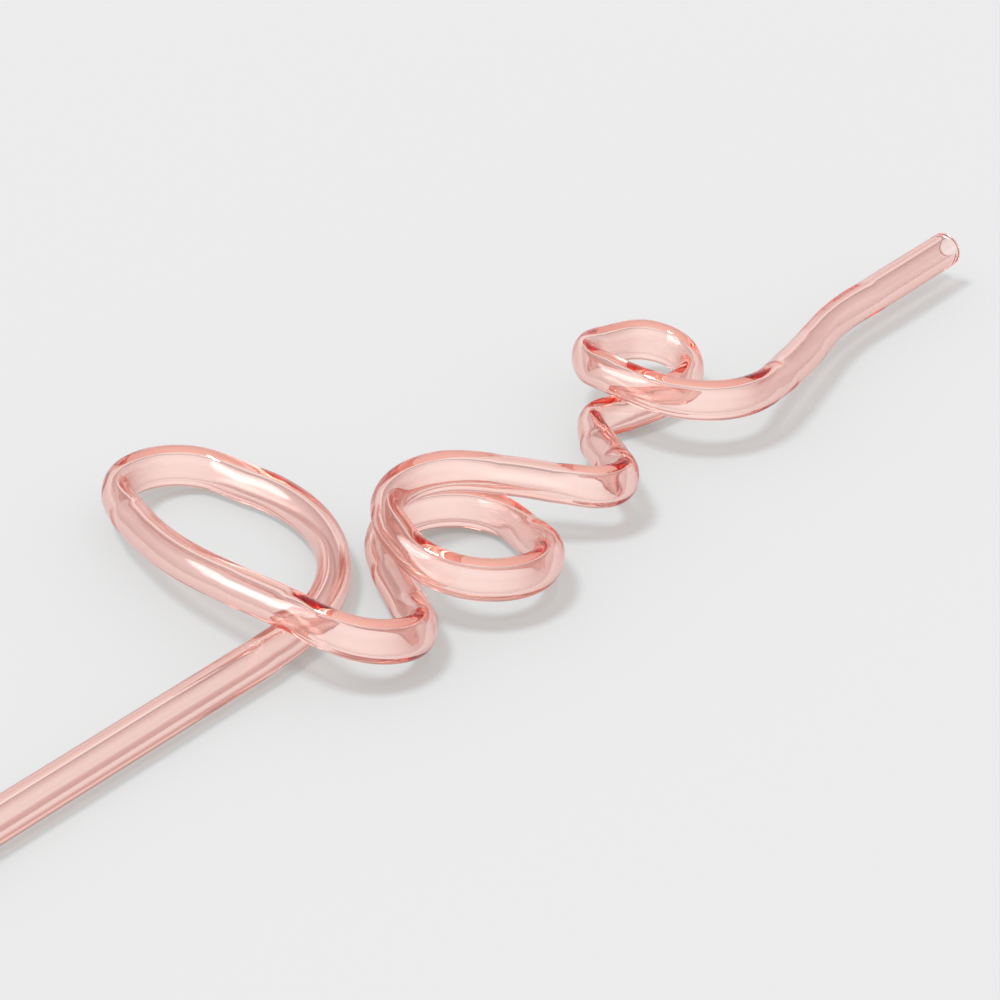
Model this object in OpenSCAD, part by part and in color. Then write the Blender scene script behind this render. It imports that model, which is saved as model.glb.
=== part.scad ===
// Looped drinking straw: one rigid clear tube, bent into four loops and waves and lying flat.
// The tube runs from its long stem (-X) to its mouthpiece (+X). It is drawn the way it is bent:
// around a row of round posts, with straight runs between them, lifted where it crosses itself.

/* [Tube] */
// Outside diameter of the tube
tube_od = 6; // [5:0.1:7]
// Inside diameter of the tube
tube_id = 3; // [2.4:0.1:3.6]
// Rounding of the cut edges at both ends
lip_r = 0.35; // [0.1:0.05:0.45]
// Narrowing across a bend whose radius is one diameter, as a share of the diameter
bend_flattening = 0.3; // [0.1:0.01:0.34]
// Share of that narrowing which comes back as extra height
bend_swell = 0.6; // [0:0.05:0.8]
// Clear height left between the strands of a crossing, before its ramps are rounded off
crossing_gap = 1; // [0.9:0.05:1.5]

/* [Straight ends] */
// Length of the stem, from its free end to the first bend
stem_len = 100; // [60:1:160]
// Length of the mouthpiece, from the last bend to its free end
mouth_len = 26.5; // [20:0.5:60]
// How far the mouthpiece's line lies in front of the stem's line
mouth_offset = 6.7; // [4:0.1:9]
// Height of the mouthpiece above the floor
mouth_rise = 2.8; // [1:0.1:4]

/* [Tall loop] */
// Bend radius of the long side that leaves the stem
tall_side_r = 30; // [28:0.5:33]
// Straight run between the long side and the tip
tall_back_run = 5; // [2:0.5:12]
// Bend radius of the tip
tall_tip_r = 10; // [8.5:0.5:11]
// Direction from the long side's post to the tip's post, in degrees from the stem's direction
tall_tip_bearing = 21.3; // [15:0.1:25]
// Straight run between the tip and the slack front side
tall_front_run = 8.7; // [4:0.1:14]
// Bend radius of the slack front side that comes back over the stem
tall_front_r = 59; // [50:1:70]
// Straight run between the front side and the foot
tall_foot_run = 19.8; // [14:0.1:25]

/* [Foot] */
// Bend radius of the foot between the tall loop and the round loop
foot_r = 9.4; // [8:0.1:10.5]
// Distance of the foot's post along the stem
foot_x = 8.9; // [8:0.1:10]
// Distance of the foot's post in front of the stem
foot_y = 6.7; // [5:0.1:9]

/* [Round loop] */
// Distance from the foot's post to the round loop's post
ring_pitch = 27.2; // [26:0.1:32]
// Bend radius of the turn that lies on the floor
ring_back_r = 10.8; // [10:0.1:11.6]
// Bend radius of the front turn
ring_front_r = 11; // [10:0.1:12]
// Bend radius of the turn that lies on top
ring_top_r = 11.1; // [10.4:0.1:12]
// Distance of the loop's post in front of the stem
ring_y = 1.5; // [0:0.1:3]
// How far the front turn's post lies further in front
ring_front_drop = 6.5; // [5:0.1:8]
// How far the front turn's post lies back towards the foot
ring_front_back = 2.7; // [1.5:0.1:4]
// How far the top turn's post lies further in front
ring_top_drop = 2.3; // [1.5:0.1:3]
// How far the top turn's post lies back towards the foot
ring_top_back = 0.7; // [0:0.1:1.5]

/* [Wave] */
// Distance from the round loop's post to the wave's low post
wave_pitch = 23.3; // [21.5:0.1:30]
// Bend radius at the wave's low end
wave_low_r = 5.9; // [5:0.1:7]
// Distance of the low post in front of the stem
wave_low_y = 8.2; // [6.5:0.1:10]
// Distance from the low post to the high post
wave_width = 18.8; // [17:0.1:24]
// Bend radius at the wave's high end
wave_high_r = 3.7; // [3.4:0.1:4.5]
// Distance of the high post behind the stem
wave_high_y = 1.3; // [0.5:0.1:2.5]

/* [Small loop] */
// Distance from the wave's high post to the small loop's right-hand post
small_pitch = 17.1; // [16.5:0.1:20]
// Bend radius of the turn that lies on the floor
small_right_r = 6.7; // [6:0.1:7.2]
// Distance of that turn's post behind the stem
small_right_y = 7.5; // [6.5:0.1:8.5]
// Bend radius of the back turn
small_back_r = 7.8; // [7:0.1:8.2]
// How far the back turn's post lies towards the wave
small_back_shift = 4.6; // [4:0.1:5.5]
// Distance of the back turn's post behind the stem
small_back_y = 7.1; // [6.5:0.1:8]
// Bend radius of the front turn
small_front_r = 13.6; // [12.5:0.1:14.5]
// Distance of the front turn's post in front of the stem
small_front_y = 0.4; // [0:0.1:1.5]

/* [Mouth bend] */
// Distance from the small loop's right-hand post to the last bend's post
mouth_pitch = 37; // [34:0.5:60]
// Bend radius of the last bend
mouth_bend_r = 50; // [45:1:55]

/* [Smoothness] */
// Sides of the bent tube's section
sides = 16; // [14:2:16]
// Turn between two sections of a bend, in degrees
bend_step = 14; // [12:1:18]
// Longest stretch between two sections
run_step = 6; // [5:0.5:8]

/* [Hidden] */
$fn = 64;
// Length over which a bend's oval section grows in, to each side
bend_ease = 4;
// Length over which a ramp's ends are rounded, to each side
ramp_ease = 6;
// Straight stretch at both ends of the bent tube, before the plain ends take over
lead = 6;
// The plain ends reach this far over the bent tube, whose skins sit a little inside their wall
join = 0.5;
seam = 0.05;
lip_steps = 3;

// One strand lifted over another: its own height, swollen at a bend, and the gap
bend_height = tube_od * (1 + bend_swell * bend_flattening / 3);
lift = bend_height + crossing_gap;
mouth_level = mouth_rise / lift;

ring_x = foot_x + ring_pitch;
wave_low_x = ring_x + wave_pitch;
wave_high_x = wave_low_x + wave_width;
small_x = wave_high_x + small_pitch;
mouth_bend_x = small_x + mouth_pitch;

// Two posts that the tube turns round the same way stand this far apart for a straight run between
function apart(change_of_r, run) = norm([change_of_r, run]);
// The point that lies from_a away from a and from_b away from b, on the left of the way from a to b
function third_corner(a, b, from_a, from_b) = let (
    way = (b - a) / norm(b - a),
    s = (norm(b - a) + (from_a ^ 2 - from_b ^ 2) / norm(b - a)) / 2)
    a + s * way + sqrt(from_a ^ 2 - s ^ 2) * [-way.y, way.x];

// The tall loop's front post follows from the tip, the foot and the runs to both of them
foot = [foot_x, -foot_y];
tall_side = [0, tall_side_r];
tall_tip = tall_side + apart(tall_side_r - tall_tip_r, tall_back_run)
    * [cos(tall_tip_bearing), sin(tall_tip_bearing)];
tall_front = third_corner(tall_tip, foot,
    apart(tall_front_r - tall_tip_r, tall_front_run), apart(tall_front_r - foot_r, tall_foot_run));

// Which way the tube turns round a post, seen from above
LEFT = 1;
RIGHT = -1;

// Each post: x, y, bend radius and turn. The first and last are the ends of the bent tube.
posts = [
    [-lead, 0, 0, LEFT],
    [tall_side.x, tall_side.y, tall_side_r, LEFT],
    [tall_tip.x, tall_tip.y, tall_tip_r, LEFT],
    [tall_front.x, tall_front.y, tall_front_r, LEFT],
    [foot.x, foot.y, foot_r, LEFT],
    [ring_x, -ring_y, ring_back_r, RIGHT],
    [ring_x - ring_front_back, -ring_y - ring_front_drop, ring_front_r, RIGHT],
    [ring_x - ring_top_back, -ring_y - ring_top_drop, ring_top_r, RIGHT],
    [wave_low_x, -wave_low_y, wave_low_r, LEFT],
    [wave_high_x, wave_high_y, wave_high_r, RIGHT],
    [small_x, small_right_y, small_right_r, LEFT],
    [small_x - small_back_shift, small_back_y, small_back_r, LEFT],
    [small_x, -small_front_y, small_front_r, LEFT],
    [mouth_bend_x, -mouth_offset - mouth_bend_r, mouth_bend_r, RIGHT],
    [mouth_bend_x + lead, -mouth_offset, 0, LEFT],
];
// Places of the posts that the heights below refer to
TALL_TIP = 2;
FOOT = 4;
RING_BACK = 5;
RING_TOP = 7;
WAVE_HIGH = 9;
SMALL_RIGHT = 10;
SMALL_FRONT = 12;
MOUTH_BEND = 13;
last = len(posts) - 1;

// An angle brought between 0 and 360 degrees
function wrap(a) = a - 360 * floor(a / 360);
function total(v, n) = n < 0 ? 0 : v[n] + total(v, n - 1);
function mean(v) = total(v, len(v) - 1) / len(v);

// Direction of the straight run that leaves post a and meets post b, both touched on their own side
function run_direction(a, b) =
    atan2(b.y - a.y, b.x - a.x)
    - asin((b[3] * b[2] - a[3] * a[2]) / norm([b.x - a.x, b.y - a.y]));

run_directions = [for (i = [0:last - 1]) run_direction(posts[i], posts[i + 1])];

// Turn round each post, left turns positive
turns = [for (i = [0:last]) i == 0 || i == last ? 0
    : posts[i][3] * wrap(posts[i][3] * (run_directions[i] - run_directions[i - 1]))];

// Direction of the run after each post, counted on through the loops' full turns
after = [for (i = [0:last]) run_directions[0] + total(turns, i)];

// The point where the tube touches post i while it heads in direction h
function touch(i, h) = [
    posts[i].x + posts[i][3] * posts[i][2] * sin(h),
    posts[i].y - posts[i][3] * posts[i][2] * cos(h)];

arc_lengths = [for (i = [0:last]) abs(turns[i]) * PI / 180 * posts[i][2]];
run_lengths = [for (i = [0:last - 1]) norm(touch(i + 1, after[i]) - touch(i, after[i]))];

// Distance along the tube at which it reaches post i, and at which it leaves it
function reach(i) = total(arc_lengths, i - 1) + total(run_lengths, i - 1);
reached = [for (i = [0:last]) reach(i)];
left_at = reached + arc_lengths;

// Direction of the tube against the distance along it, which is straight between these points
direction_points = [for (i = [0:last]) each [
    [reached[i], after[i] - turns[i]],
    [left_at[i] + seam / 100, after[i]]]];
function direction(s) = lookup(s, direction_points);

// Lifts of the tube's underside above the floor: 1 is over another strand, 0 is on the floor
height_points = [
    [0, 0],
    [reached[TALL_TIP], 0],
    [reached[FOOT], 1],
    [left_at[FOOT], 0],
    [left_at[RING_BACK], 0],
    [reached[RING_TOP], 1],
    [left_at[RING_TOP] + tube_od, 1],
    [reached[WAVE_HIGH], 0],
    [reached[SMALL_RIGHT], 0],
    [reached[SMALL_FRONT], 1],
    [reached[MOUTH_BEND] - ramp_ease, mouth_level],
    [reached[last], mouth_level],
];
// Height of the underside, its ramps rounded off by averaging over a short stretch
function underside(s) =
    lift * mean([for (k = [-1:0.25:1]) lookup(s + k * ramp_ease, height_points)]);

// Narrowing of the section, from the turn over a short stretch around it
function bend_at(s) =
    abs(direction(s + bend_ease) - direction(s - bend_ease)) * PI / 180 / (2 * bend_ease);
function narrowing(s) = bend_flattening * sqrt(tube_od * bend_at(s));
function half_width(s) = tube_od / 2 * (1 - narrowing(s));
function half_height(s) = tube_od / 2 * (1 + bend_swell * narrowing(s));
function middle(s) = underside(s) + half_height(s);
slope_step = 1;
function slope(s) = atan((middle(s + slope_step) - middle(s - slope_step)) / (2 * slope_step));

// Stations along the tube: the distance, the place in plan and the direction
function steps(i) = max(1, ceil(abs(turns[i]) / bend_step), ceil(arc_lengths[i] / run_step));
function on_arc(i, t) = let (h = after[i] - turns[i] * (1 - t))
    [reached[i] + arc_lengths[i] * t, touch(i, h), h];
function on_run(i, t) = let (p = touch(i, after[i]), q = touch(i + 1, after[i]))
    [left_at[i] + run_lengths[i] * t, p + (q - p) * t, after[i]];
stations = [
    for (i = [0:last - 1]) each [
        if (turns[i] != 0) for (k = [0:steps(i) - 1]) on_arc(i, k / steps(i)),
        let (n = ceil(run_lengths[i] / run_step)) for (k = [0:1:n - 1]) on_run(i, k / n)],
    on_run(last - 1, 1)];

// One section: an oval of half width a and half height b, upright across the tube. A flat faces
// straight out at each side, halfway up.
function section(station, a, b) = let (
    s = station[0],
    h = station[2],
    g = slope(s),
    across = [-sin(h), cos(h), 0],
    up = [-cos(h) * sin(g), -sin(h) * sin(g), cos(g)])
    [for (k = [0:sides - 1]) let (t = 360 * (k + 0.5) / sides)
        [station[1].x, station[1].y, middle(s)] + a * cos(t) * across + b * sin(t) * up];

wall = (tube_od - tube_id) / 2;
// The bore's corners stand out by this much, so that its flats stay outside the plain bore
corner = 1 / cos(180 / sides);
function outer(st) = section(st, half_width(st[0]) - seam, half_height(st[0]) - seam);
function inner(st) = section(st,
    (half_width(st[0]) - wall + seam) * corner, (half_height(st[0]) - wall + seam) * corner);

outer_skin = [for (st = stations) each outer(st)];
inner_skin = [for (st = stations) each inner(st)];

// The drawing's frame is centred over its own outline, with the stem along X
low = [-stem_len, min([for (p = outer_skin) p.y])];
high = [mouth_bend_x + mouth_len, max([for (p = outer_skin) p.y])];
centre = (low + high) / 2;

// Corner k of ring i, on the outer skin or on the inner one
rings = len(stations);
function o(i, k) = i * sides + k % sides;
function n(i, k) = rings * sides + o(i, k);

// The bent tube, as one closed skin that is carried along the stations
module bent_tube() {
    outside = [for (i = [0:rings - 2], k = [0:sides - 1]) each [
        [o(i, k), o(i + 1, k + 1), o(i, k + 1)],
        [o(i, k), o(i + 1, k), o(i + 1, k + 1)]]];
    inside = [for (i = [0:rings - 2], k = [0:sides - 1]) each [
        [n(i, k), n(i, k + 1), n(i + 1, k + 1)],
        [n(i, k), n(i + 1, k + 1), n(i + 1, k)]]];
    ends = [for (k = [0:sides - 1]) each [
        [o(0, k), o(0, k + 1), n(0, k)],
        [n(0, k), o(0, k + 1), n(0, k + 1)],
        [o(rings - 1, k + 1), o(rings - 1, k), n(rings - 1, k)],
        [o(rings - 1, k + 1), n(rings - 1, k), n(rings - 1, k + 1)]]];
    polyhedron(concat(outer_skin, inner_skin), concat(outside, inside, ends), convexity = 12);
}

// A quarter round on the profile of a cut end, round the point c from angle a0 to angle a1
function quarter(c, a0, a1) =
    [for (k = [0:lip_steps]) let (t = a0 + (a1 - a0) * k / lip_steps) c + lip_r * [cos(t), sin(t)]];

// A plain straight tube along +Z with its rounded free end at the bottom
module straight_tube(length) {
    rotate_extrude()
        polygon(concat(
            quarter([tube_id / 2 + lip_r, lip_r], 180, 270),
            quarter([tube_od / 2 - lip_r, lip_r], 270, 360),
            [[tube_od / 2, length], [tube_id / 2, length]]));
}

// The long plain stem, free end at -X
module stem() {
    translate([-stem_len, 0, tube_od / 2])
        rotate([0, 90, 0])
            straight_tube(stem_len - lead + join);
}

// The mouthpiece, free end at +X
module mouthpiece() {
    translate([mouth_bend_x + mouth_len, -mouth_offset, mouth_rise + tube_od / 2])
        rotate([0, -90, 0])
            straight_tube(mouth_len - lead + join);
}

module straw() {
    color([0.96, 0.66, 0.62])
        translate([-centre.x, -centre.y, 0])
            union() {
                stem();
                bent_tube();
                mouthpiece();
            }
}

straw();
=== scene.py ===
# %% [markdown]
# # A looped drinking straw in clear pink plastic
# The real straw is one rigid tube, 6 mm across with a 3 mm bore. It is bent while warm into a
# tall loop, a round loop, a wave and a small loop, and it lies flat on a pale table.
# A clear tube shows both of its skins, the outer one and the bore, and what lies behind it, so
# the whole look rests on two things: skins that are smooth and true, and glassy shading.
# This script first loads the measured model, then works out the same tube again at a much
# finer grain, and then gives it its plastic, the table, the light and the camera.

import math

import bpy
import numpy as np
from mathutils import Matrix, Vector


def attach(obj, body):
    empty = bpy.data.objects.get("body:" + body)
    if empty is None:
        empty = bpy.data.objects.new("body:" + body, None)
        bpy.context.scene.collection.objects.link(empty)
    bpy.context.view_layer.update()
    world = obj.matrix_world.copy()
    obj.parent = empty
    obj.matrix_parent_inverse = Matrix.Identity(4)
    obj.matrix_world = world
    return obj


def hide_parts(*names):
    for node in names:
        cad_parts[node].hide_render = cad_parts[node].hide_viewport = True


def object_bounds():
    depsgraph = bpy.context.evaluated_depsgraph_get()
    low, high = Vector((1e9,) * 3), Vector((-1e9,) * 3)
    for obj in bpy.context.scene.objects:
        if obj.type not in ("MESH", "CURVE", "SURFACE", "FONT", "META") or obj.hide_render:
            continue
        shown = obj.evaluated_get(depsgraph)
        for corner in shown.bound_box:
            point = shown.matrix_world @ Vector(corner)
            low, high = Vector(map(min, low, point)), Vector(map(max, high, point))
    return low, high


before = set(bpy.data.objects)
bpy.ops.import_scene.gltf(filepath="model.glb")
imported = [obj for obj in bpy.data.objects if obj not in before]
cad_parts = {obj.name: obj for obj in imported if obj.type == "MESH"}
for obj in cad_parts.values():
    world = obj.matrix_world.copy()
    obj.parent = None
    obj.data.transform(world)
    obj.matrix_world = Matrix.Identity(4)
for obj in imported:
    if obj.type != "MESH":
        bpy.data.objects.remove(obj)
cad_box = [list(corner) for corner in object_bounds()]
print("nodes of the model:", sorted(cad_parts), "and its box:", np.round(cad_box, 4).tolist())

# %% [markdown]
# ## The path of the tube
# A tube bender wraps warm tube round posts. Its path in plan is therefore a chain of arcs and
# straight runs, and a short list of posts gives all of it: where each one stands, its radius,
# and whether the tube turns left or right round it. A spline through points could follow the
# same path, but it would wobble between them. Arcs and runs stay clean, and reflections on
# clear plastic show every wobble.

# %% Sizes of the tube and the posts that it is bent round
MM = 0.001
LEFT, RIGHT = 1, -1

tube_r, bore_r, lip_r = 3.0, 1.5, 0.35
stem_len, mouth_len, lead = 100.0, 26.5, 6.0
mouth_rise, crossing_gap = 2.8, 1.0
bend_flattening, bend_swell = 0.3, 0.6
ramp_ease, bend_ease, path_ease = 6.0, 4.0, 2.0


def third_corner(a, b, from_a, from_b):
    """The point at two given distances from a and b, on the left of the way from a to b."""
    apart = math.dist(a, b)
    way_x, way_y = (b[0] - a[0]) / apart, (b[1] - a[1]) / apart
    s = (apart + (from_a ** 2 - from_b ** 2) / apart) / 2
    w = math.sqrt(from_a ** 2 - s ** 2)
    return a[0] + s * way_x - w * way_y, a[1] + s * way_y + w * way_x


# Two posts are as far apart as the straight run between their arcs needs
side_r, tip_r, front_r, foot_r = 30.0, 10.0, 59.0, 9.4
side_tip_run, tip_front_run, front_foot_run = 5.0, 8.7, 19.8
tip_bearing, tip_away = math.radians(21.3), math.hypot(side_r - tip_r, side_tip_run)
tall_side, foot = (0.0, side_r), (8.9, -6.7)
tall_tip = (tip_away * math.cos(tip_bearing), side_r + tip_away * math.sin(tip_bearing))
tall_front = third_corner(tall_tip, foot,
                          math.hypot(front_r - tip_r, tip_front_run),
                          math.hypot(front_r - foot_r, front_foot_run))
ring_x, small_x, mouth_x = 36.1, 95.3, 132.3
posts = {
    "stem": (-lead, 0.0, 0.0, LEFT),
    "tall_side": (*tall_side, side_r, LEFT),
    "tall_tip": (*tall_tip, tip_r, LEFT),
    "tall_front": (*tall_front, front_r, LEFT),
    "foot": (*foot, foot_r, LEFT),
    "ring_back": (ring_x, -1.5, 10.8, RIGHT),
    "ring_front": (ring_x - 2.7, -8.0, 11.0, RIGHT),
    "ring_top": (ring_x - 0.7, -3.8, 11.1, RIGHT),
    "wave_low": (59.4, -8.2, 5.9, LEFT),
    "wave_high": (78.2, 1.3, 3.7, RIGHT),
    "small_right": (small_x, 7.5, 6.7, LEFT),
    "small_back": (small_x - 4.6, 7.1, 7.8, LEFT),
    "small_front": (small_x, -0.4, 13.6, LEFT),
    "mouth_bend": (mouth_x, -56.7, 50.0, RIGHT),
    "mouth": (mouth_x + lead, -6.7, 0.0, LEFT),
}
post_names = list(posts)
print(len(posts), "posts, the tall loop's tip at", np.round(tall_tip, 1),
      "and its front at", np.round(tall_front, 1))

# %% [markdown]
# From the posts to a path: the run between two posts touches both circles, which gives its
# direction. The direction of the tube against the distance along it is then a line that rises
# steadily on each arc and stays level on each run, and the plan is the running sum of small
# steps in that direction. A warm tube doesn't jump from straight to bent, so the plan is
# averaged over a short stretch, which eases every bend in and out.

# %% The path in plan
GRAIN = 0.05


def path_knots(chain):
    """Distances along the tube at which it reaches and leaves each post, and its direction there.

    A run's direction is the line between two posts, turned by the angle whose sine is the
    difference of the signed radii over the distance between the posts.
    """
    x, y, r, side = np.array(chain).T
    apart = np.hypot(np.diff(x), np.diff(y))
    runs = np.arctan2(np.diff(y), np.diff(x)) - np.arcsin(np.diff(side * r) / apart)
    turns = np.zeros(len(x))
    turns[1:-1] = side[1:-1] * np.mod(side[1:-1] * np.diff(runs), 2 * np.pi)
    after = runs[0] + np.cumsum(turns)
    arcs = np.abs(turns) * r
    heading = after[:-1]
    offset = side * r
    run_x = np.diff(x) + np.diff(offset) * np.sin(heading)
    run_y = np.diff(y) - np.diff(offset) * np.cos(heading)
    straight = np.hypot(run_x, run_y)
    reached = np.concatenate([[0.0], np.cumsum(arcs[:-1] + straight)])
    return reached, reached + arcs, after - turns, after


def eased(values, half_length):
    """The running mean of values over half_length to each side, carried straight on past the ends."""
    n = int(round(half_length / GRAIN))
    steps = np.arange(1, n + 1)
    ahead = values[0] - (values[1] - values[0]) * steps[::-1]
    beyond = values[-1] + (values[-1] - values[-2]) * steps
    evenly = np.full(2 * n + 1, 1 / (2 * n + 1))
    return np.convolve(np.concatenate([ahead, values, beyond]), evenly, "valid")


reached, left_at, before, after = path_knots(list(posts.values()))
bent_length = reached[-1]
plain_stem, plain_mouth = stem_len - lead, mouth_len - lead
along = np.arange(-plain_stem, bent_length + plain_mouth + GRAIN / 2, GRAIN)
knots = np.stack([reached, left_at + GRAIN / 1000], 1).ravel()
direction = np.interp(along, knots, np.stack([before, after], 1).ravel())
half_way = (direction[1:] + direction[:-1]) / 2
plan_x = -stem_len + np.concatenate([[0.0], np.cumsum(np.cos(half_way)) * GRAIN])
plan_y = np.concatenate([[0.0], np.cumsum(np.sin(half_way)) * GRAIN])
plan_x, plan_y = eased(plan_x, path_ease), eased(plan_y, path_ease)
print(f"bent stretch {bent_length:.1f} mm, whole tube {along[-1] - along[0]:.1f} mm, "
      f"end at {plan_x[-1]:.2f}, {plan_y[-1]:.2f} mm")

# %% [markdown]
# ## Height and section along the tube
# Where the tube crosses itself the upper strand lies on the lower one, so the underside climbs
# from the floor to one strand's height and comes down again. In a bend the warm tube is
# squeezed: its section turns oval, narrower across the bend and a little taller. Both are
# functions of the distance along the tube, so they are worked out once for every grain of it.

# %% Lifts at the crossings, and the oval section
at = {name: (reached[k], left_at[k]) for k, name in enumerate(post_names)}
bend_height = 2 * tube_r * (1 + bend_swell * bend_flattening / 3)
lift = bend_height + crossing_gap
mouth_level = mouth_rise / lift
levels = np.array([
    (0.0, 0.0),
    (at["tall_tip"][0], 0.0),
    (at["foot"][0], 1.0),
    (at["foot"][1], 0.0),
    (at["ring_back"][1], 0.0),
    (at["ring_top"][0], 1.0),
    (at["ring_top"][1] + 2 * tube_r, 1.0),
    (at["wave_high"][0], 0.0),
    (at["small_right"][0], 0.0),
    (at["small_front"][0], 1.0),
    (at["mouth_bend"][0] - ramp_ease, mouth_level),
    (at["mouth"][0], mouth_level)])
underside = lift * eased(np.interp(along, levels[:, 0], levels[:, 1]), ramp_ease)

curvature = np.abs(np.gradient(eased(direction, bend_ease), GRAIN))
narrowing = bend_flattening * np.sqrt(2 * tube_r * curvature)
half_width = tube_r * (1 - narrowing)
half_height = tube_r * (1 + bend_swell * narrowing)
centre_z = underside + half_height
print(f"highest point {np.max(centre_z + half_height):.2f} mm, "
      f"narrowest {2 * half_width.min():.2f} mm across, tallest {2 * half_height.max():.2f} mm")

# %% [markdown]
# ## One closed skin
# A tube has an outer skin, a bore and two cut ends. They could be separate meshes, but light
# that passes through clear plastic has to meet one closed surface, or the glass shading can't
# tell inside from outside. So the rows of one grid run out along the outer skin, round the lip
# of the mouthpiece, back along the bore and round the lip of the stem. The grid closes on
# itself both ways, like the skin of a ring. Each row needs only its distance along the tube
# and how deep it lies inside the outer wall. Rows stand closer together where the tube bends.

# %% Rows of the skin: distance along the tube and depth in the wall
SIDES, BEND_TURN, RUN_STEP, LIP_STEPS = 60, math.radians(3.9), 1.35, 6
wall = tube_r - bore_r


def lip(depth_from, depth_to, end, inward):
    """Rows of a rounded cut edge: quarter circles at both corners, joined by the flat of the cut."""
    turn = np.linspace(0, np.pi / 2, LIP_STEPS + 1)
    outer = np.stack([end + inward * lip_r * (1 - np.sin(turn)), lip_r * (1 - np.cos(turn))], 1)
    inner = np.stack([outer[::-1, 0], wall - outer[::-1, 1]], 1)
    rows = np.concatenate([outer, inner])
    return rows if depth_from < depth_to else rows[::-1]


density = 1 / RUN_STEP + np.abs(np.gradient(direction, GRAIN)) / BEND_TURN
count = np.concatenate([[0.0], np.cumsum((density[1:] + density[:-1]) / 2 * GRAIN)])
n_rows = int(count[-1])
stations = np.interp(np.linspace(0, count[-1], n_rows), count, along)
inside = (stations > along[0] + 1.5 * lip_r) & (stations < along[-1] - 1.5 * lip_r)
stations = stations[inside]
rows = np.concatenate([
    np.stack([stations, np.zeros(len(stations))], 1),
    lip(0, wall, along[-1], -1),
    np.stack([stations[::-1], np.full(len(stations), wall)], 1),
    lip(wall, 0, along[0], 1)])
print(len(rows), "rows of", SIDES, "points make", 2 * len(rows) * SIDES, "triangles")

# %% [markdown]
# A point of the skin is the centre line's place, plus the oval's half width across the tube
# and its half height upright to it, both less the row's depth in the wall. The upright leans
# back on a ramp, so it is the cross product of the tube's own direction and the level one.

# %% Points of the skin
def skin(rows, sides):
    """Point (row, side), as centre + (half width - depth) cos t across

    + (half height - depth) sin t upright.
    """
    s, depth = rows.T
    centre = np.stack([np.interp(s, along, v) for v in (plan_x, plan_y, centre_z)], 1)
    slope = [np.interp(s, along, np.gradient(v, GRAIN)) for v in (plan_x, plan_y, centre_z)]
    ahead = np.stack(slope, 1)
    ahead /= np.linalg.norm(ahead, axis=1, keepdims=True)
    across = np.stack([-ahead[:, 1], ahead[:, 0], np.zeros(len(s))], 1)
    across /= np.linalg.norm(across, axis=1, keepdims=True)
    upright = np.cross(ahead, across)
    t = np.linspace(0, 2 * np.pi, sides, endpoint=False)
    a = (np.interp(s, along, half_width) - depth)[:, None] * np.cos(t)
    b = (np.interp(s, along, half_height) - depth)[:, None] * np.sin(t)
    return centre[:, None] + a[..., None] * across[:, None] + b[..., None] * upright[:, None]


points = skin(rows, SIDES) * MM
low, high = np.array(cad_box)
off_centre = (low + high - points.min((0, 1)) - points.max((0, 1))) / 2
points += np.array([off_centre[0], off_centre[1], 0.0])
print("skin box:", np.round([points.min((0, 1)), points.max((0, 1))], 5).tolist())

# %% [markdown]
# ## From points to a mesh
# A mesh needs its points, its faces and here also a UV map: the distance along the tube and
# the turn round it, so that the fine lines which drawing leaves in a tube can follow it. All
# three are arrays, so foreach_set puts them in at once. The next row or side of the last one
# is the first one again, which closes the skin, and the sides' order makes faces point out.

# %% The straw as a mesh
def closed_grid(name, points, uv_along, uv_round):
    """A mesh of quads on a grid that closes on itself both ways, with a UV map."""
    n, m = points.shape[:2]
    row, side = np.meshgrid(np.arange(n), np.arange(m), indexing="ij")
    next_row, next_side = (row + 1) % n, (side + 1) % m
    quads = np.stack([row * m + side, row * m + next_side,
                      next_row * m + next_side, next_row * m + side], -1)
    mesh = bpy.data.meshes.new(name)
    mesh.vertices.add(n * m)
    mesh.vertices.foreach_set("co", points.astype(np.float32).ravel())
    mesh.loops.add(quads.size)
    mesh.loops.foreach_set("vertex_index", quads.astype(np.int32).ravel())
    mesh.polygons.add(n * m)
    mesh.polygons.foreach_set("loop_start", np.arange(0, quads.size, 4, dtype=np.int32))
    u = np.repeat(uv_along[:, None], m, 1)
    v = np.repeat(uv_round[None, :], n, 0)
    uv = np.stack([np.stack([u, u, u[next_row, side], u[next_row, side]], -1),
                   np.stack([v, v + 1 / m, v + 1 / m, v], -1)], -1)
    mesh.uv_layers.new(name="tube").uv.foreach_set("vector", uv.astype(np.float32).ravel())
    mesh.shade_smooth()
    mesh.update(calc_edges=True)
    mesh.validate()
    piece = bpy.data.objects.new(name, mesh)
    bpy.context.scene.collection.objects.link(piece)
    return piece


straw = closed_grid("clear_straw", points, rows[:, 0] / (2 * tube_r), np.arange(SIDES) / SIDES)
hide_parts("straw")
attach(straw, "root")
print(straw.name, "has", len(straw.data.polygons), "quads")

# %% [markdown]
# ## A short way to write shader maths
# Node trees are long to write out one link at a time. The class below wraps a socket, so that
# plain Python sums on sockets add the Math nodes, and one method makes any other node.

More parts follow.
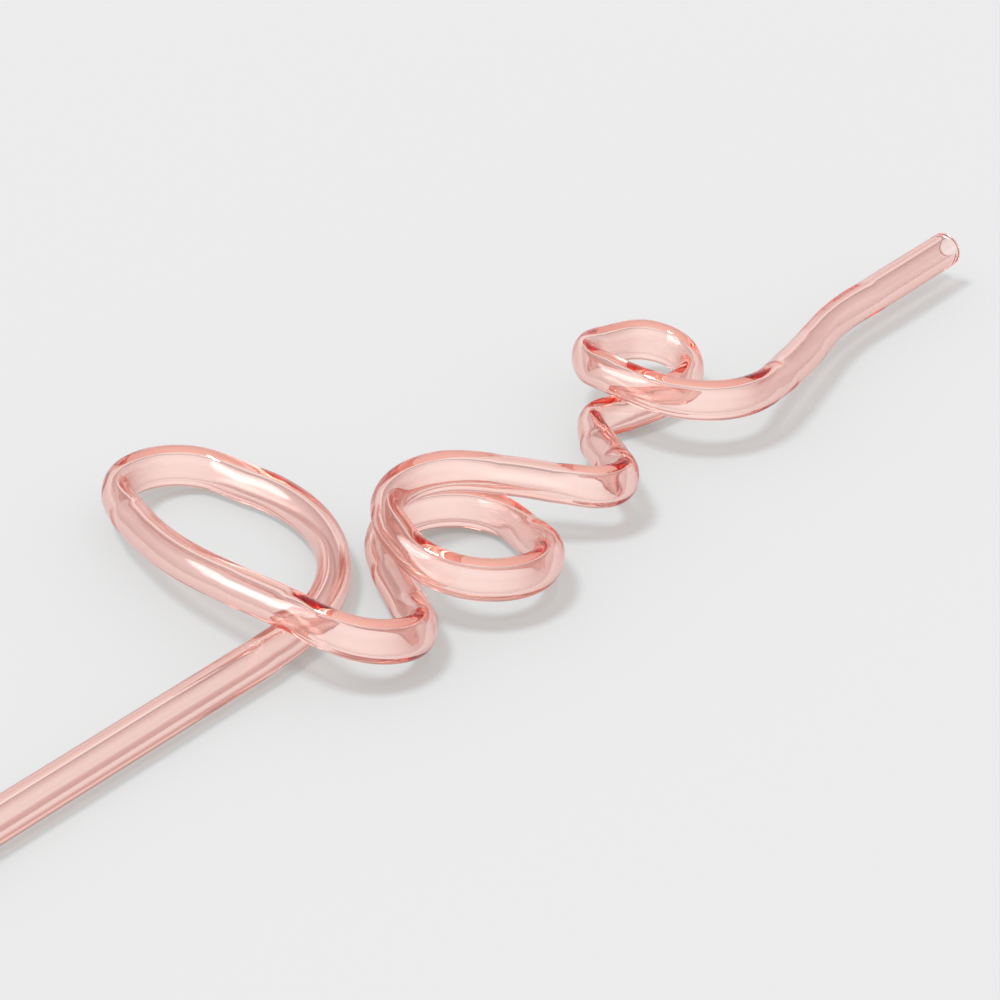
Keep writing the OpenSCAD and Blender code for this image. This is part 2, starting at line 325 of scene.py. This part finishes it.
# %% Sockets with arithmetic
class Wire:
    """A number that comes out of a shader socket. Sums on it add Math nodes to its tree."""

    def __init__(self, tree, socket):
        self.tree, self.socket = tree, socket

    def node(self, kind, settings=None, out=0, **values):
        """Adds a node of a kind, sets its settings first, then its sockets, and gives one output."""
        new = self.tree.nodes.new(kind)
        for name, value in (settings or {}).items():
            setattr(new, name, value)
        for name, value in values.items():
            key = int(name[1:]) if name[0] == "_" and name[1:].isdigit() else name.replace("_", " ")
            if isinstance(value, Wire):
                self.tree.links.new(value.socket, new.inputs[key])
            else:
                new.inputs[key].default_value = value
        return Wire(self.tree, new.outputs[out])

    def math(self, operation, a, b):
        return self.node("ShaderNodeMath", {"operation": operation}, _0=a, _1=b)

    def __add__(self, other):
        return self.math("ADD", self, other)

    def __sub__(self, other):
        return self.math("SUBTRACT", self, other)

    def __rsub__(self, other):
        return self.math("SUBTRACT", other, self)

    def __mul__(self, other):
        return self.math("MULTIPLY", self, other)

    __radd__, __rmul__ = __add__, __mul__


def new_material(name):
    """An empty node material, its output node and a wire to add nodes with."""
    material = bpy.data.materials.new(name)
    material.use_nodes = True
    material.node_tree.nodes.clear()
    output = material.node_tree.nodes.new("ShaderNodeOutputMaterial")
    return material, output, Wire(material.node_tree, None)


print("shader helpers ready")

# %% [markdown]
# ## Clear pink plastic
# The plastic is tinted all through, so its colour grows with the depth that light has to
# cross: pale in the middle of the tube, where the bore leaves little plastic, deeper towards
# the edges and deepest where strands lie over each other. That part of the tint is a Volume
# Absorption, whose colour and density give how much red, green and blue are lost on each
# metre. The rest is in the skin, which tints a little what passes it straight on. Where a ray
# grazes the skin, a much darker colour is painted in as shade. Layer Weight tells the two
# apart, and so paints the thin dark lines of shade that run along both sides of the bore and
# along the tube's own edges.

# %% The plastic and its finish
TINT_PER_MM = np.array([0.006, 0.078, 0.098])
REFRACTION, GRAZING = 1.49, 1.3
# The second colour is painted shade: the dark colour the skin takes where a ray grazes it, which
# draws the tube's dark lines.
FACING_SKIN, GRAZING_PAINTED_SHADE = (1.0, 0.962, 0.95, 1.0), (0.50, 0.24, 0.23, 1.0)
LINE_STRETCH, LINES_SHARE = 0.12, 0.6
RELIEF_DEPTH, RELIEF_STRENGTH, HAZE = 0.3 * MM, 0.02, 0.03

plastic, plastic_out, wire = new_material("clear_pink_plastic")
uv = wire.node("ShaderNodeUVMap", {"uv_map": "tube"})
split = wire.node("ShaderNodeSeparateXYZ", Vector=uv)
along_uv, round_uv = split, Wire(split.tree, split.socket.node.outputs["Y"])
turn_uv = round_uv * (2 * math.pi)
ring_x_uv = wire.node("ShaderNodeMath", {"operation": "COSINE"}, _0=turn_uv)
ring_y_uv = wire.node("ShaderNodeMath", {"operation": "SINE"}, _0=turn_uv)
drawn = wire.node("ShaderNodeCombineXYZ", X=along_uv * LINE_STRETCH, Y=ring_x_uv, Z=ring_y_uv)
lines = wire.node("ShaderNodeTexNoise", Vector=drawn, Scale=4.0, Detail=2.0)
place = wire.node("ShaderNodeTexCoord", out=3)
ripple = wire.node("ShaderNodeTexNoise", Vector=place, Scale=120.0, Detail=1.0)
relief = lines * LINES_SHARE + ripple * (1 - LINES_SHARE)
bump = wire.node("ShaderNodeBump", Height=relief, Strength=RELIEF_STRENGTH, Distance=RELIEF_DEPTH)
haze = wire.node("ShaderNodeTexNoise", Vector=place, Scale=60.0, Detail=3.0)
edge = wire.node("ShaderNodeLayerWeight", out="Facing", Blend=0.5)
# Painted shade: the skin's colour turns dark where a ray grazes it, which paints the dark lines along
# the bore and the tube's edges.
skin_tint_and_painted_lines = wire.node("ShaderNodeMix", {"data_type": "RGBA"}, out=2,
                      _0=edge.math("POWER", edge, GRAZING), _6=FACING_SKIN, _7=GRAZING_PAINTED_SHADE)
shine = wire.node("ShaderNodeBsdfPrincipled",
                  Base_Color=skin_tint_and_painted_lines, Roughness=haze * HAZE, IOR=REFRACTION,
                  Transmission_Weight=1.0, Normal=bump)
lost_most = TINT_PER_MM.max() / MM
tint = wire.node("ShaderNodeVolumeAbsorption",
                 Color=(*(1 - TINT_PER_MM / TINT_PER_MM.max()), 1.0), Density=lost_most)
plastic.node_tree.links.new(tint.socket, plastic_out.inputs["Volume"])
straw.data.materials.append(plastic)
print("light left after 3 mm of plastic:", np.round(np.exp(-3 * TINT_PER_MM), 2).tolist())

# %% [markdown]
# ## What the table's own rays meet
# Path tracing finds few of the ways by which light reaches a table through clear plastic, so
# the shadow of a clear tube would come out nearly black. A ray that leaves the table is a
# diffuse or a shadow ray, and Light Path tells which. Those two kinds meet a thin veil in the
# plastic's place, nearly clear where they cross the skin straight on and duller where they
# graze it. Every other ray meets the plastic itself. Each kind of ray feeds the factor of one
# Mix Shader directly, which keeps the tree easy to read, also for an exporter.

# %% The veil
CLEAR_VEIL, DULL_VEIL = (0.98, 1.0, 1.0, 1.0), (0.55, 0.71, 0.75, 1.0)

clear = wire.node("ShaderNodeBsdfTransparent", Color=CLEAR_VEIL)
dull = wire.node("ShaderNodeBsdfTransparent", Color=DULL_VEIL)
veil = wire.node("ShaderNodeMixShader", _0=edge, _1=clear, _2=dull)
surface = shine
for kind in ("Is Diffuse Ray", "Is Shadow Ray"):
    surface = wire.node("ShaderNodeMixShader", _0=wire.node("ShaderNodeLightPath", out=kind),
                        _1=surface, _2=veil)
plastic.node_tree.links.new(surface.socket, plastic_out.inputs["Surface"])
print("the plastic has", len(plastic.node_tree.nodes), "nodes")

# %% [markdown]
# ## Table, surroundings and light
# The straw lies on a plain pale table, and one soft light stands nearly over it, a little to
# the left and behind, so the shadows are short and soft. The clear tube takes most of its look
# from what it shows of its surroundings, and what it shows most of is the table. Rays that
# went through plastic on their way from the camera therefore find the table glowing nearly
# white, painted light that stands in for the light a clear tube gathers onto the table, where
# all others find it as pale as it is, with the straw's shadow on it. Where the tube touches the
# table, the little light in the gap came through plastic and is pink. That is painted as a pink
# shade in the glow: Ambient Occlusion finds the narrow strip, which shows as the lower one of
# the tube's inner lines.

# %% The table
FLOOR_SIZE, FLOOR_DROP, FLOOR_WHITE, FLOOR_MOTTLE = 8.0, 0.02 * MM, 0.84, 0.004
WHITE_THROUGH = 0.95
CONTACT = 0.5 * MM
UNDER_TUBE_PAINTED_SHADE, IN_THE_OPEN = (0.75, 0.58, 0.56, 1.0), (1.0, 1.0, 1.0, 1.0)

floor_mesh = bpy.data.meshes.new("table")
half = FLOOR_SIZE / 2
corners = [(x * half, y * half, -FLOOR_DROP) for x, y in ((-1, -1), (1, -1), (1, 1), (-1, 1))]
floor_mesh.from_pydata(corners, [], [(0, 1, 2, 3)])
floor = bpy.data.objects.new("table", floor_mesh)
bpy.context.scene.collection.objects.link(floor)
pale, pale_out, wire = new_material("pale_table")
table_place = wire.node("ShaderNodeTexCoord", out=3)
grain = wire.node("ShaderNodeTexNoise", Vector=table_place, Scale=3.0, Detail=2.0)
white = wire.node("ShaderNodeMix", {"data_type": "RGBA"}, out=2, _0=grain)
for key, shade in ((6, FLOOR_WHITE - FLOOR_MOTTLE), (7, FLOOR_WHITE + FLOOR_MOTTLE)):
    white.socket.node.inputs[key].default_value = (shade, shade, shade, 1.0)
matt = wire.node("ShaderNodeBsdfPrincipled", Base_Color=white, Roughness=0.9, Specular_IOR_Level=0.0)
# Painted light and shade: rays through the plastic see the table glow, nearly white in the open and a
# pink shade where Ambient Occlusion finds the tube touching it.
open_above = wire.node("ShaderNodeAmbientOcclusion", out=1, Distance=CONTACT)
lit = wire.node("ShaderNodeMix", {"data_type": "RGBA"}, out=2,
                _0=open_above, _6=UNDER_TUBE_PAINTED_SHADE, _7=IN_THE_OPEN)
white_glow = wire.node("ShaderNodeEmission", Color=lit, Strength=1.0)
through_tube = wire.node("ShaderNodeLightPath", out="Is Transmission Ray")
seen_table = wire.node("ShaderNodeMixShader", _0=through_tube * WHITE_THROUGH, _1=matt, _2=white_glow)
pale.node_tree.links.new(seen_table.socket, pale_out.inputs["Surface"])
floor_mesh.materials.append(pale)
print("table", FLOOR_SIZE, "m wide")

# %% [markdown]
# The surroundings are low white walls all round, a darker room above them, whose edge shows
# as darker streaks along the tube's upper side, and a bright side behind the camera. A soft
# box to the left and behind gives the long pale glints on the tall loop. It shows in
# reflections alone and adds no light to the table. The ways below point from the straw
# outwards, and a dot product with one of them tells how near to it a ray runs.

# %% The surroundings
WALL_GLOW, ROOM_GLOW, FRONT_GLOW, AMBIENT = 1.15, 0.55, 1.6, 0.54
WALL_TOP, ROOM_START = 0.22, 0.45
FRONT_WAY, FRONT_FROM, FRONT_TO = (-0.77, -0.64, 0.0), -0.1, 0.5
BOX_WAY, BOX_GLOW, BOX_FROM, BOX_TO = (-0.66, 0.54, 0.52), 5.5, 0.90, 0.925

world = bpy.data.worlds.new("studio")
bpy.context.scene.world = world
world.use_nodes = True
world.node_tree.nodes.clear()
wire = Wire(world.node_tree, None)
towards = wire.node("ShaderNodeTexCoord")
rise = wire.node("ShaderNodeSeparateXYZ", out=2, Vector=towards)
fade = wire.node("ShaderNodeMapRange", {"interpolation_type": "SMOOTHSTEP"}, Value=rise,
                 From_Min=WALL_TOP, From_Max=ROOM_START, To_Min=WALL_GLOW, To_Max=ROOM_GLOW)
along_front = wire.node("ShaderNodeVectorMath", {"operation": "DOT_PRODUCT"}, out="Value",
                        _0=towards, _1=FRONT_WAY)
front = wire.node("ShaderNodeMapRange", {"interpolation_type": "SMOOTHSTEP"}, Value=along_front,
                  From_Min=FRONT_FROM, From_Max=FRONT_TO, To_Min=0.0, To_Max=1.0)
fade = fade + front * (FRONT_GLOW - fade)
along_box = wire.node("ShaderNodeVectorMath", {"operation": "DOT_PRODUCT"}, out="Value",
                      _0=towards, _1=BOX_WAY)
soft_box = wire.node("ShaderNodeMapRange", {"interpolation_type": "SMOOTHSTEP"}, Value=along_box,
                     From_Min=BOX_FROM, From_Max=BOX_TO, To_Min=0.0, To_Max=BOX_GLOW)
fade = fade + soft_box * wire.node("ShaderNodeLightPath", out="Is Glossy Ray")
seen = wire.node("ShaderNodeLightPath")
ray = seen.socket.node.outputs
for kind in ("Is Glossy Ray", "Is Transmission Ray"):
    seen = seen.math("MAXIMUM", seen, Wire(seen.tree, ray[kind]))
glow = wire.node("ShaderNodeBackground", Color=(1.0, 1.0, 1.0, 1.0),
                 Strength=seen * (fade - AMBIENT) + AMBIENT)
world_out = world.node_tree.nodes.new("ShaderNodeOutputWorld")
world.node_tree.links.new(glow.socket, world_out.inputs["Surface"])
print("walls glow at", WALL_GLOW, "and the room above at", ROOM_GLOW)

# %% The soft light
LIGHT_WAY = np.array([-0.28, 0.20, 0.94])
LIGHT_ANGLE, LIGHT_SHARE = 14.0, 0.46

lamp = bpy.data.lights.new("soft_light", "SUN")
lamp.angle = math.radians(LIGHT_ANGLE)
lamp.energy = LIGHT_SHARE * math.pi / LIGHT_WAY[2]
soft_light = bpy.data.objects.new("soft_light", lamp)
soft_light.rotation_euler = Vector(LIGHT_WAY).to_track_quat("Z", "Y").to_euler()
bpy.context.scene.collection.objects.link(soft_light)
print(f"soft light {LIGHT_ANGLE:.0f} degrees wide, {lamp.energy:.2f} W on each square metre")

# %% [markdown]
# ## The camera
# The picture looks down on the straw through a long lens, from the stem's left, so the stem
# runs out of the frame at the lower left and the mouthpiece ends at the upper right. Light that
# runs along inside the wall is thrown to and fro many times, and would end in black specks if
# it were given up after the usual 12 bounces, so more are allowed.

# %% The camera
CAMERA_PLACE = (-0.3489, -0.3203, 0.2923)
CAMERA_DOWN, CAMERA_HEADING, LENS, SENSOR = 31.0, 50.28, 133.5, 36.0

view = bpy.data.cameras.new("camera")
view.lens, view.sensor_width, view.sensor_fit = LENS, SENSOR, "HORIZONTAL"
camera = bpy.data.objects.new("camera", view)
camera.location = CAMERA_PLACE
camera.rotation_euler = (math.radians(90 - CAMERA_DOWN), 0, math.radians(-CAMERA_HEADING))
bpy.context.scene.collection.objects.link(camera)
bpy.context.scene.camera = camera
bpy.context.scene.view_settings.view_transform = "Standard"
bounces = bpy.context.scene.cycles
bounces.max_bounces = bounces.transmission_bounces = bounces.glossy_bounces = 96
print("camera", CAMERA_DOWN, "degrees down with a", LENS, "mm lens")
